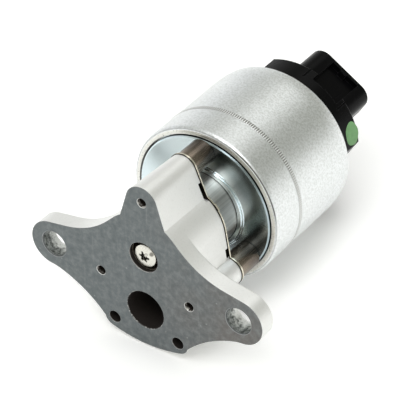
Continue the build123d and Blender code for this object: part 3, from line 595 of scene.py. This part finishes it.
dress(casting(), "valve_base")
dress(pintle_head(), "pintle")
dress(turned("bright_stainless", (0.74, 0.72, 0.66), 0.26), "armature_nut", "deflector_ring", "guide_sleeve")
dress(turned("seat_steel", (0.50, 0.44, 0.35), 0.34), "valve_seat")
dress(turned("shield_steel", (0.86, 0.81, 0.68), 0.22, soft=0.2 * MM), "heat_shield")
dress(turned("gasket_graphite", (0.030, 0.025, 0.020), 0.5), "base_gasket")
dress(turned("sintered_steel", (0.36, 0.36, 0.36), 0.5), "stem_guide", "pole_bushing")
dress(drawn_pole(), "lower_pole", "upper_pole", "armature")
for place, at in BOSSES.items():
    dress(turned(f"screw_steel_{place}", (0.16, 0.16, 0.17), 0.45, at=at), f"housing_screw_{place}")
dress(turned("tinned_brass", (0.76, 0.73, 0.64), 0.28), "wiper_contact", "coil_terminal_left",
      "coil_terminal_right", *(f"terminal_pin_{number}" for number in range(1, 6)))
dress(tinted_sleeves(), "spacer_sleeve_top", "spacer_sleeve_left", "spacer_sleeve_right")
dress(zinc_plate(), "solenoid_can")
dress(zinc_mirror(), "can_bottom_plate")
dress(moulded("black_plastic", (0.0016, 0.0016, 0.0019), 0.26, gloss=0.08), "sensor_cap", "sensor_plunger")
dress(moulded("natural_plastic", (0.62, 0.56, 0.44), 0.5, gloss=0.5, pale_edges=False), "bobbin")
dress(moulded("seal_rubber", (0.02, 0.02, 0.02), 0.6), "cap_seal")
dress(copper_winding(), "coil_winding")
dress(track_board(), "sensor_board")


# ------------------------------------------------------------------ pieces
def surface(name, grid, finish, body=HOUSING, poles=False):
    """A mesh from a grid of points that closes round in its first direction. It closes round in its
    second direction too, or with poles the first and the last column are each one shared point."""
    rows, columns = grid.shape[:2]
    index = np.arange(rows * columns).reshape(rows, columns)
    u = np.arange(rows)[:, None]
    v = np.arange(columns - 1 if poles else columns)[None, :]
    u_next, v_next = (u + 1) % rows, (v + 1) % columns
    faces = np.stack([index[u, v], index[u, v_next], index[u_next, v_next], index[u_next, v]], axis=-1)
    mesh = bpy.data.meshes.new(name)
    mesh.from_pydata(grid.reshape(-1, 3).tolist(), [], faces.reshape(-1, 4).tolist())
    if poles:
        merged = bmesh.new()
        merged.from_mesh(mesh)
        bmesh.ops.remove_doubles(merged, verts=merged.verts, dist=1e-7)
        merged.to_mesh(mesh)
        merged.free()
    mesh.shade_smooth()
    mesh.materials.append(finish.material)
    piece = bpy.data.objects.new(name, mesh)
    bpy.context.scene.collection.objects.link(piece)
    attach(piece, body)
    return piece


def whole_turn(samples):
    """Angles of a whole turn, evenly spread, as a column."""
    return np.linspace(0, 2 * pi, samples, endpoint=False)[:, None]


def lathe(radius, y, angle, centre=VALVE_AXIS):
    """Points at a radius, height and angle about the line along Y through centre, as x, y and z;
    the angle runs from +X towards +Z."""
    radius, y, angle = np.broadcast_arrays(radius, y, angle)
    return np.stack([centre[0] + radius * np.cos(angle), y, centre[1] + radius * np.sin(angle)], axis=-1)


def knurl_band():
    """Knurled band over the can's groove: round the can, the radius rises and falls teeth times
    between root and tip as a cosine that is cut off flat above and below. Across the band, the
    teeth run out over a shoulder at each side, and the outermost points sink into the can."""
    teeth, samples, swing = 222, 8, 0.9
    middle, half, shoulder = 46.4 * MM, 0.80 * MM, 0.15
    root, tip, inside = CAN_RADIUS + 0.005 * MM, CAN_RADIUS + 0.08 * MM, CAN_RADIUS - 0.1 * MM
    turn = whole_turn(teeth * samples)
    wave = np.clip(0.5 + swing * np.cos(turn * teeth), 0, 1)
    across = np.array([-1.0, -0.98, -0.85, -0.4, 0.0, 0.4, 0.85, 0.98, 1.0])[None, :]
    crown = np.clip((1 - np.abs(across)) / shoulder, 0, 1)
    radius = root + (tip - root) * wave * crown
    radius[:, (0, -1)] = inside
    return surface("knurl_band", lathe(radius, middle + half * across, turn), knurled_zinc())


def screw_thread(place, centre, finish):
    """Threaded wall of a tapped hole: a thin tube whose inner radius swings between the thread's
    crest and root as a triangle wave of height minus turns, and whose outer wall is plain. The
    thread grows to its full depth over the lead at the hole's mouth."""
    pitch, lead = 0.7 * MM, 0.35 * MM
    crest, root, outer = 1.30 * MM, 1.60 * MM, 1.64 * MM
    low, high, levels, columns = 0.25 * MM, 4.9 * MM, 67, 48
    turn = whole_turn(columns)
    height = np.linspace(low, high, levels)[None, :]
    wave = np.abs(2 * ((height / pitch - turn / (2 * pi)) % 1.0) - 1)
    grown = np.clip((height - low) / lead, 0, 1)
    inner = root - (root - crest) * wave * grown
    radius = np.concatenate([inner, np.full((columns, 2), outer)], axis=1)
    level = np.concatenate([height, np.array([[high, low]])], axis=1)
    return surface(f"tap_thread_{place}", lathe(radius, level, turn, centre)[:, ::-1], finish)


def pintle_button():
    """Domed end of the pintle with its six-lobed drive: on a disc of rings and spokes, the height
    is a dome, one minus the square of the way out, less a recess with steep walls whose outline
    is a circle plus six flattened cosine lobes, and less a small round at the edge. A flat back
    closes it just inside the pintle's own end."""
    back, wall = 1.75 * MM, 0.20 * MM
    flatness, drive_turn = 1.8, 0.5
    edge_start, edge_drop = 0.96, 0.25 * MM
    turn = whole_turn(96)
    out = np.concatenate([np.linspace(0, 0.62, 40), np.linspace(0.66, edge_start, 10), [0.985, 1.0]])
    out = out[None, :]
    outline = DRIVE_RADIUS + DRIVE_LOBE * np.tanh(flatness * np.cos(6 * turn + drive_turn))
    sunk = np.clip((outline - BUTTON_RIM * out) / wall + 0.5, 0, 1)
    sunk = sunk * sunk * (3 - 2 * sunk)
    edge = np.clip((out - edge_start) / (1 - edge_start), 0, 1)
    y = BUTTON_FRONT + BUTTON_DOME * out**2 + DRIVE_DEPTH * sunk + edge_drop * edge**2
    face = lathe(BUTTON_RIM * out, y, turn)
    rear = lathe(BUTTON_RIM * out[:, ::-1], back, turn)
    return surface("pintle_button", np.concatenate([face, rear], axis=1), button_steel(), PINTLE, poles=True)


def coil_spring(name, node, finish, wire, mean, turns, low, high):
    """Coil spring between two seats: a circle of the wire's radius is carried along a helix, and
    shrinks to a point at both ends."""
    section = whole_turn(12)
    along = np.concatenate([[0], np.linspace(0, 1, 32 * turns + 1), [1]])[None, :]
    thick = np.full(along.shape, wire)
    thick[0, (0, -1)] = 0
    y = low + SEAT_GAP + wire + (high - low - 2 * SEAT_GAP - 2 * wire) * along + thick * np.sin(section)
    grid = lathe(mean + thick * np.cos(section), y, 2 * pi * turns * along)
    piece = surface(name, grid[:, ::-1], finish, poles=True)
    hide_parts(node)
    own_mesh(piece)


def paint_dot():
    """Dab of green paint on the cap's wall: a slightly wavy oval on the wall's cylinder, domed by
    its thickness times one minus the square of the way out, with a plain back just under the
    wall's surface."""
    thick, back = 0.09 * MM, 0.05 * MM
    centre_angle, half_angle = radians(15.8), radians(9.6)
    centre_y, half_y = 83.3 * MM, 3.4 * MM
    turn = whole_turn(64)
    out = np.linspace(0, 1, 12)[None, :]
    wobble = 1 + 0.025 * np.sin(3 * turn + 0.6) + 0.02 * np.sin(5 * turn)
    angle = centre_angle + half_angle * out * wobble * np.cos(turn)
    y = centre_y + half_y * out * wobble * np.sin(turn)
    front = lathe(CAP_RADIUS + thick * (1 - out**2), y, angle)
    rear = lathe(CAP_RADIUS - back, y, angle)
    return surface("paint_dot", np.concatenate([rear, front[:, ::-1]], axis=1), green_paint(), poles=True)


knurl_band()
thread_finish = cut_thread()
for place, centre in BOSSES.items():
    screw_thread(place, centre, thread_finish)
pintle_button()
spring_finish = turned("spring_steel", (0.60, 0.60, 0.58), 0.3)
coil_spring("return_coil", "return_spring", spring_finish,
            wire=0.45 * MM, mean=4.55 * MM, turns=6, low=55.0 * MM, high=67.0 * MM)
coil_spring("sensor_coil", "sensor_spring", spring_finish,
            wire=0.20 * MM, mean=2.20 * MM, turns=7, low=77.5 * MM, high=84.6 * MM)
paint_dot()  # the record has no slot for paint


# ------------------------------------------------------------------ stage
def floor_plane():
    """Pale floor through the flange's lowest line and the can's lowest line, square in plan. Where the
    camera and mirror-like metal see it, a faint glow lifts it to white: half as strong close under
    the valve, a painted shadow that deepens its own, and stronger far off, where the lamps don't reach."""
    slope = (CAN_LOW[1] - FLANGE_LOW[1]) / (CAN_LOW[0] - FLANGE_LOW[0])
    square = ((-1, -1), (1, -1), (1, 1), (-1, 1))
    plan = [(FLOOR_HALF * x, FLOOR_HALF * y) for x, y in square]
    corners = [(x, y, FLANGE_LOW[1] + slope * (y - FLANGE_LOW[0])) for x, y in plan]
    mesh = bpy.data.meshes.new("floor")
    mesh.from_pydata(corners, [], [(0, 1, 2, 3)])
    floor = bpy.data.objects.new("floor", mesh)
    bpy.context.scene.collection.objects.link(floor)
    f = Finish("floor_white", Roughness=0.8, Specular_IOR_Level=0.0, Emission_Strength=1.0)
    seen = 0.0
    for ray in ("Is Camera Ray", "Is Glossy Ray", "Is Transmission Ray"):
        seen = f.node("ShaderNodeLightPath", output=ray).at_least(seen)
    shade_reach, near, distant = 16.0 * MM, 0.25, 1.2
    open_share = f.node("ShaderNodeAmbientOcclusion", {"samples": 16}, output="AO", Distance=shade_reach)
    # painted shadow: the glow is halved where the valve hems the floor in
    clear = 0.5 + 0.5 * f.step(open_share, 0.35, 1.0)
    along = f.y - VALVE_MIDDLE[1]
    far = f.step((f.x * f.x + along * along) ** 0.5, near, distant)
    glow = seen * clear * (0.34 + 0.5 * far)
    f.drive(Base_Color=f.tint(f.noise(4, 1), (0.89, 0.89, 0.885), (0.91, 0.91, 0.905)))
    f.drive(Emission_Color=f.tint(glow, (0.0, 0.0, 0.0), (1.0, 1.0, 1.0)))
    mesh.materials.append(f.material)


def softbox(name, at, size, power):
    """A rectangular lamp that faces the valve's middle."""
    lamp = bpy.data.lights.new(name, "AREA")
    lamp.shape = "RECTANGLE"
    lamp.size, lamp.size_y = size
    lamp.energy = power
    holder = bpy.data.objects.new(name, lamp)
    facing = (Vector(at) - Vector(VALVE_MIDDLE)).to_track_quat("Z", "Y").to_matrix().to_4x4()
    holder.matrix_world = Matrix.Translation(at) @ facing
    bpy.context.scene.collection.objects.link(holder)


def camera():
    """Camera on its place: azimuth about Z, elevation about X, then roll about the view."""
    lens = bpy.data.cameras.new("camera")
    lens.sensor_width = SENSOR
    lens.lens = CAMERA_LENS
    holder = bpy.data.objects.new("camera", lens)
    holder.matrix_world = (
        Matrix.Translation(CAMERA_AT)
        @ Matrix.Rotation(CAMERA_AZIMUTH, 4, "Z")
        @ Matrix.Rotation(pi / 2 - CAMERA_ELEVATION, 4, "X")
        @ Matrix.Rotation(CAMERA_ROLL, 4, "Z")
    )
    bpy.context.scene.collection.objects.link(holder)
    bpy.context.scene.camera = holder


def studio():
    """A pale room, as levels added up by direction: dim all round, near-white at the horizon, with a
    bright panel overhead and a paler wall on the left. The dim part is slightly yellow."""
    world = bpy.data.worlds.new("studio")
    bpy.context.scene.world = world
    world.use_nodes = True
    world.node_tree.nodes.clear()
    net = Net(world.node_tree)
    x, _, up = net.split(net.node("ShaderNodeTexCoord", output="Generated"))
    horizon = 1.0 - net.step(up, 0.0, 0.27)
    zenith = net.step(up, 0.80, 0.93)
    left = net.step(-x, 0.1, 0.7) * (1.0 - net.step(up, 0.30, 0.80)) * (1.0 - horizon)
    dim, panel, wall = 0.34, 0.74, 0.50
    level = dim + horizon * (1.0 - dim) + zenith * panel + left * wall
    colour = net.tint((horizon + zenith + left).clipped(), (0.98, 1.0, 0.88), (0.98, 0.99, 1.0))
    sky = net.node("ShaderNodeBackground", None, colour, level)
    net.node("ShaderNodeOutputWorld", None, sky)


floor_plane()
camera()
studio()
softbox("overhead", at=(0.0, 0.45, 1.1), size=(0.6, 1.2), power=2.0)
softbox("front", at=(0.20, -0.58, 1.05), size=(0.8, 0.6), power=4.6)
bpy.context.scene.view_settings.view_transform = "Standard"
